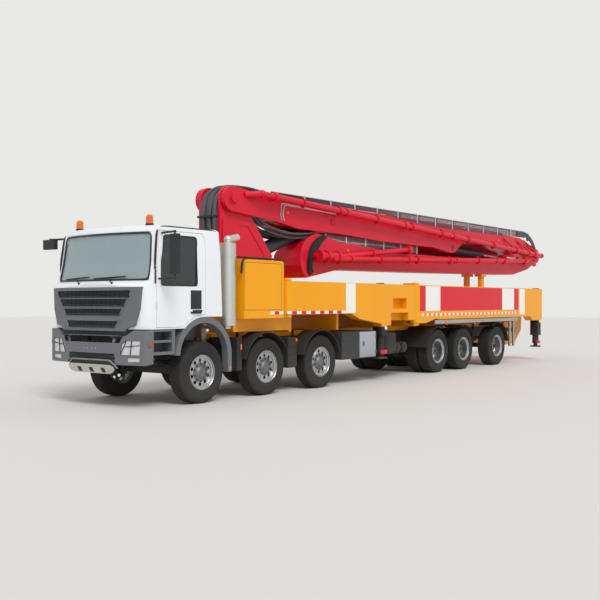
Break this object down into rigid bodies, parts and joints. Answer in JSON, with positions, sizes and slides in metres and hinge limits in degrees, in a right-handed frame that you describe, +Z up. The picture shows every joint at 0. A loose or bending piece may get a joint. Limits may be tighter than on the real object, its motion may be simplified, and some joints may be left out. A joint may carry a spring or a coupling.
{
  "type": "concrete pump truck",
  "caption": "Long truck chassis with a cab-over cab, folded delivery boom on a slewing turret, swing-out outriggers and a rear hopper for placing fresh concrete.",
  "frame": {"origin": "middle of the footprint of the bounding box, on the ground", "axes": "truck faces -Y, its left side is +X, +Z up"},
  "size_m": [3.45, 17.88, 3.99],
  "materials": {
    "frame_black": "satin",
    "axle_black": "satin",
    "cab_white": "gloss",
    "glass": "clear",
    "grey_plastic": "fine grain",
    "lamp_clear": "clear",
    "interior": "grained",
    "black_plastic": "fine grain",
    "stack_metal": "satin",
    "engine_grey": "rough",
    "box_grey": "satin",
    "deck_yellow": "gloss",
    "rail_alu": "satin",
    "knuckle_black": "satin",
    "wheel": "matte",
    "boom_red": "gloss",
    "cylinder_grey": "satin",
    "rod_chrome": "polished",
    "jack_grey": "satin"
  },
  "bodies": {
    "root": {"chassis_frame": "frame_black", "axles": "axle_black", "cab_shell": "cab_white", "cab_glass": "glass", "front_fascia": "grey_plastic", "lamps": "lamp_clear", "cab_interior": "interior", "mudguards": "black_plastic", "exhaust": "stack_metal", "engine": "engine_grey", "side_boxes": "box_grey", "deck": "deck_yellow", "pedestal": "deck_yellow", "hopper": "deck_yellow", "side_rails": "rail_alu", "boom_rest": "deck_yellow"},
    "door_left": {"door_left": "cab_white", "door_glass_left": "glass", "mirror_left": "black_plastic"},
    "door_right": {"door_right": "cab_white", "door_glass_right": "glass", "mirror_right": "black_plastic"},
    "turret": {"turret": "boom_red"},
    "arm_1": {"arm_1": "boom_red"},
    "arm_2": {"arm_2": "boom_red"},
    "arm_3": {"arm_3": "boom_red"},
    "arm_4": {"arm_4": "boom_red"},
    "arm_5": {"arm_5": "boom_red"},
    "lift_barrel": {"lift_barrel": "cylinder_grey"},
    "lift_rod": {"lift_rod": "rod_chrome"},
    "fold_barrel": {"fold_barrel": "cylinder_grey"},
    "fold_rod": {"fold_rod": "rod_chrome"},
    "knuckle_1_left": {"knuckle_1_left": "knuckle_black"},
    "knuckle_1_right": {"knuckle_1_right": "knuckle_black"},
    "knuckle_2_left": {"knuckle_2_left": "knuckle_black"},
    "knuckle_2_right": {"knuckle_2_right": "knuckle_black"},
    "knuckle_3_left": {"knuckle_3_left": "knuckle_black"},
    "knuckle_3_right": {"knuckle_3_right": "knuckle_black"},
    "knuckle_6_left": {"knuckle_6_left": "knuckle_black"},
    "knuckle_6_right": {"knuckle_6_right": "knuckle_black"},
    "wheel_1_left": {"wheel_1_left": "wheel"},
    "wheel_1_right": {"wheel_1_right": "wheel"},
    "wheel_2_left": {"wheel_2_left": "wheel"},
    "wheel_2_right": {"wheel_2_right": "wheel"},
    "wheel_3_left": {"wheel_3_left": "wheel"},
    "wheel_3_right": {"wheel_3_right": "wheel"},
    "wheel_4_left": {"wheel_4_left": "wheel"},
    "wheel_4_right": {"wheel_4_right": "wheel"},
    "wheel_5_left": {"wheel_5_left": "wheel"},
    "wheel_5_right": {"wheel_5_right": "wheel"},
    "wheel_6_left": {"wheel_6_left": "wheel"},
    "wheel_6_right": {"wheel_6_right": "wheel"},
    "outrigger_front_left": {"outrigger_front_left": "deck_yellow"},
    "outrigger_front_right": {"outrigger_front_right": "deck_yellow"},
    "outrigger_rear_left": {"outrigger_rear_left": "deck_yellow"},
    "outrigger_rear_right": {"outrigger_rear_right": "deck_yellow"},
    "jack_front_left": {"jack_front_left": "jack_grey"},
    "jack_front_right": {"jack_front_right": "jack_grey"},
    "jack_rear_left": {"jack_rear_left": "jack_grey"},
    "jack_rear_right": {"jack_rear_right": "jack_grey"}
  },
  "joints": [
    {"name": "steer_1_left", "type": "hinge", "parent": "root", "child": "knuckle_1_left", "pos_m": [0.85, -7.49, 0.535], "axis": [0, 0, 1], "range_deg": [-32, 32]},
    {"name": "steer_1_right", "type": "hinge", "parent": "root", "child": "knuckle_1_right", "pos_m": [-0.85, -7.49, 0.535], "axis": [0, 0, 1], "range_deg": [-32, 32]},
    {"name": "steer_2_left", "type": "hinge", "parent": "root", "child": "knuckle_2_left", "pos_m": [0.85, -5.79, 0.535], "axis": [0, 0, 1], "range_deg": [-27, 27]},
    {"name": "steer_2_right", "type": "hinge", "parent": "root", "child": "knuckle_2_right", "pos_m": [-0.85, -5.79, 0.535], "axis": [0, 0, 1], "range_deg": [-27, 27]},
    {"name": "steer_3_left", "type": "hinge", "parent": "root", "child": "knuckle_3_left", "pos_m": [0.85, -4.09, 0.535], "axis": [0, 0, 1], "range_deg": [-21, 21]},
    {"name": "steer_3_right", "type": "hinge", "parent": "root", "child": "knuckle_3_right", "pos_m": [-0.85, -4.09, 0.535], "axis": [0, 0, 1], "range_deg": [-21, 21]},
    {"name": "steer_6_left", "type": "hinge", "parent": "root", "child": "knuckle_6_left", "pos_m": [0.85, 4.11, 0.535], "axis": [0, 0, 1], "range_deg": [-10, 10]},
    {"name": "steer_6_right", "type": "hinge", "parent": "root", "child": "knuckle_6_right", "pos_m": [-0.85, 4.11, 0.535], "axis": [0, 0, 1], "range_deg": [-10, 10]},
    {"name": "wheel_1_left_spin", "type": "hinge", "parent": "knuckle_1_left", "child": "wheel_1_left", "pos_m": [1.0325, -7.49, 0.535], "axis": [1, 0, 0], "continuous": true},
    {"name": "wheel_1_right_spin", "type": "hinge", "parent": "knuckle_1_right", "child": "wheel_1_right", "pos_m": [-1.0325, -7.49, 0.535], "axis": [1, 0, 0], "continuous": true},
    {"name": "wheel_2_left_spin", "type": "hinge", "parent": "knuckle_2_left", "child": "wheel_2_left", "pos_m": [1.0325, -5.79, 0.535], "axis": [1, 0, 0], "continuous": true},
    {"name": "wheel_2_right_spin", "type": "hinge", "parent": "knuckle_2_right", "child": "wheel_2_right", "pos_m": [-1.0325, -5.79, 0.535], "axis": [1, 0, 0], "continuous": true},
    {"name": "wheel_3_left_spin", "type": "hinge", "parent": "knuckle_3_left", "child": "wheel_3_left", "pos_m": [1.0325, -4.09, 0.535], "axis": [1, 0, 0], "continuous": true},
    {"name": "wheel_3_right_spin", "type": "hinge", "parent": "knuckle_3_right", "child": "wheel_3_right", "pos_m": [-1.0325, -4.09, 0.535], "axis": [1, 0, 0], "continuous": true},
    {"name": "wheel_4_left_spin", "type": "hinge", "parent": "root", "child": "wheel_4_left", "pos_m": [1.0325, 0.76, 0.535], "axis": [1, 0, 0], "continuous": true},
    {"name": "wheel_4_right_spin", "type": "hinge", "parent": "root", "child": "wheel_4_right", "pos_m": [-1.0325, 0.76, 0.535], "axis": [1, 0, 0], "continuous": true},
    {"name": "wheel_5_left_spin", "type": "hinge", "parent": "root", "child": "wheel_5_left", "pos_m": [1.0325, 2.11, 0.535], "axis": [1, 0, 0], "continuous": true},
    {"name": "wheel_5_right_spin", "type": "hinge", "parent": "root", "child": "wheel_5_right", "pos_m": [-1.0325, 2.11, 0.535], "axis": [1, 0, 0], "continuous": true},
    {"name": "wheel_6_left_spin", "type": "hinge", "parent": "knuckle_6_left", "child": "wheel_6_left", "pos_m": [1.0325, 4.11, 0.535], "axis": [1, 0, 0], "continuous": true},
    {"name": "wheel_6_right_spin", "type": "hinge", "parent": "knuckle_6_right", "child": "wheel_6_right", "pos_m": [-1.0325, 4.11, 0.535], "axis": [1, 0, 0], "continuous": true},
    {"name": "door_left_hinge", "type": "hinge", "parent": "root", "child": "door_left", "pos_m": [1.22, -8.575, 2], "axis": [0, 0, -1], "range_deg": [0, 75]},
    {"name": "door_right_hinge", "type": "hinge", "parent": "root", "child": "door_right", "pos_m": [-1.22, -8.575, 2], "axis": [0, 0, 1], "range_deg": [0, 75]},
    {"name": "slew", "type": "hinge", "parent": "root", "child": "turret", "pos_m": [0, -5.54, 2.4], "axis": [0, 0, 1], "range_deg": [-185, 185]},
    {"name": "boom_lift", "type": "hinge", "parent": "turret", "child": "arm_1", "pos_m": [0, -5.85, 3.73], "axis": [1, 0, 0], "range_deg": [0, 85]},
    {"name": "fold_2", "type": "hinge", "parent": "arm_1", "child": "arm_2", "pos_m": [0, 8.71, 3.25], "axis": [1, 0, 0], "range_deg": [0, 180]},
    {"name": "fold_3", "type": "hinge", "parent": "arm_2", "child": "arm_3", "pos_m": [0, -3.19, 2.68], "axis": [1, 0, 0], "range_deg": [0, 180]},
    {"name": "fold_4", "type": "hinge", "parent": "arm_3", "child": "arm_4", "pos_m": [0, 6.51, 3], "axis": [1, 0, 0], "range_deg": [0, 180]},
    {"name": "fold_5", "type": "hinge", "parent": "arm_4", "child": "arm_5", "pos_m": [0, -0.99, 2.9], "axis": [1, 0, 0], "range_deg": [0, 180]},
    {"name": "lift_swing", "type": "hinge", "parent": "turret", "child": "lift_barrel", "pos_m": [0, -5.09, 2.63], "axis": [1, 0, 0], "range_deg": [0, 80]},
    {"name": "lift_stroke", "type": "slide", "parent": "lift_barrel", "child": "lift_rod", "axis": [0, 0.9421, 0.3354], "range_m": [0, 1.75]},
    {"name": "fold_swing", "type": "hinge", "parent": "arm_1", "child": "fold_barrel", "pos_m": [0, 3.01, 3.24], "axis": [1, 0, 0], "range_deg": [-12, 12]},
    {"name": "fold_stroke", "type": "slide", "parent": "fold_barrel", "child": "fold_rod", "axis": [0, 0.9994, -0.0333], "range_m": [0, 0.9]},
    {"name": "outrigger_front_left_swing", "type": "hinge", "parent": "root", "child": "outrigger_front_left", "pos_m": [1.13, -5.16, 1.5], "axis": [0, 0, -1], "range_deg": [0, 110]},
    {"name": "jack_front_left_drop", "type": "slide", "parent": "outrigger_front_left", "child": "jack_front_left", "axis": [0, 0, -1], "range_m": [0, 0.47]},
    {"name": "outrigger_rear_left_swing", "type": "hinge", "parent": "root", "child": "outrigger_rear_left", "pos_m": [1.13, -0.31, 1.5], "axis": [0, 0, -1], "range_deg": [0, 75]},
    {"name": "jack_rear_left_drop", "type": "slide", "parent": "outrigger_rear_left", "child": "jack_rear_left", "axis": [0, 0, -1], "range_m": [0, 0.38]},
    {"name": "outrigger_front_right_swing", "type": "hinge", "parent": "root", "child": "outrigger_front_right", "pos_m": [-1.13, -5.16, 1.5], "axis": [0, 0, 1], "range_deg": [0, 110]},
    {"name": "jack_front_right_drop", "type": "slide", "parent": "outrigger_front_right", "child": "jack_front_right", "axis": [0, 0, -1], "range_m": [0, 0.47]},
    {"name": "outrigger_rear_right_swing", "type": "hinge", "parent": "root", "child": "outrigger_rear_right", "pos_m": [-1.13, -0.31, 1.5], "axis": [0, 0, 1], "range_deg": [0, 75]},
    {"name": "jack_rear_right_drop", "type": "slide", "parent": "outrigger_rear_right", "child": "jack_rear_right", "axis": [0, 0, -1], "range_m": [0, 0.38]}
  ],
  "couplings": [
    {"joint": "steer_1_right", "follows": "steer_1_left", "ratio": 1},
    {"joint": "steer_2_left", "follows": "steer_1_left", "ratio": 0.81},
    {"joint": "steer_2_right", "follows": "steer_1_left", "ratio": 0.81},
    {"joint": "steer_3_left", "follows": "steer_1_left", "ratio": 0.62},
    {"joint": "steer_3_right", "follows": "steer_1_left", "ratio": 0.62},
    {"joint": "steer_6_left", "follows": "steer_1_left", "ratio": -0.3},
    {"joint": "steer_6_right", "follows": "steer_1_left", "ratio": -0.3},
    {"joint": "slew", "follows": "boom_lift", "ratio": 2},
    {"joint": "fold_2", "follows": "boom_lift", "ratio": 0.15},
    {"joint": "fold_3", "follows": "boom_lift", "ratio": 1},
    {"joint": "fold_4", "follows": "boom_lift", "ratio": 0.7},
    {"joint": "fold_5", "follows": "boom_lift", "ratio": 0.5},
    {"joint": "lift_swing", "follows": "boom_lift", "ratio": 0.86975},
    {"joint": "lift_stroke", "follows": "boom_lift", "m_per_rad": 1.135},
    {"joint": "fold_swing", "follows": "boom_lift", "ratio": -0.026615},
    {"joint": "fold_stroke", "follows": "boom_lift", "m_per_rad": 0.047153}
  ]
}
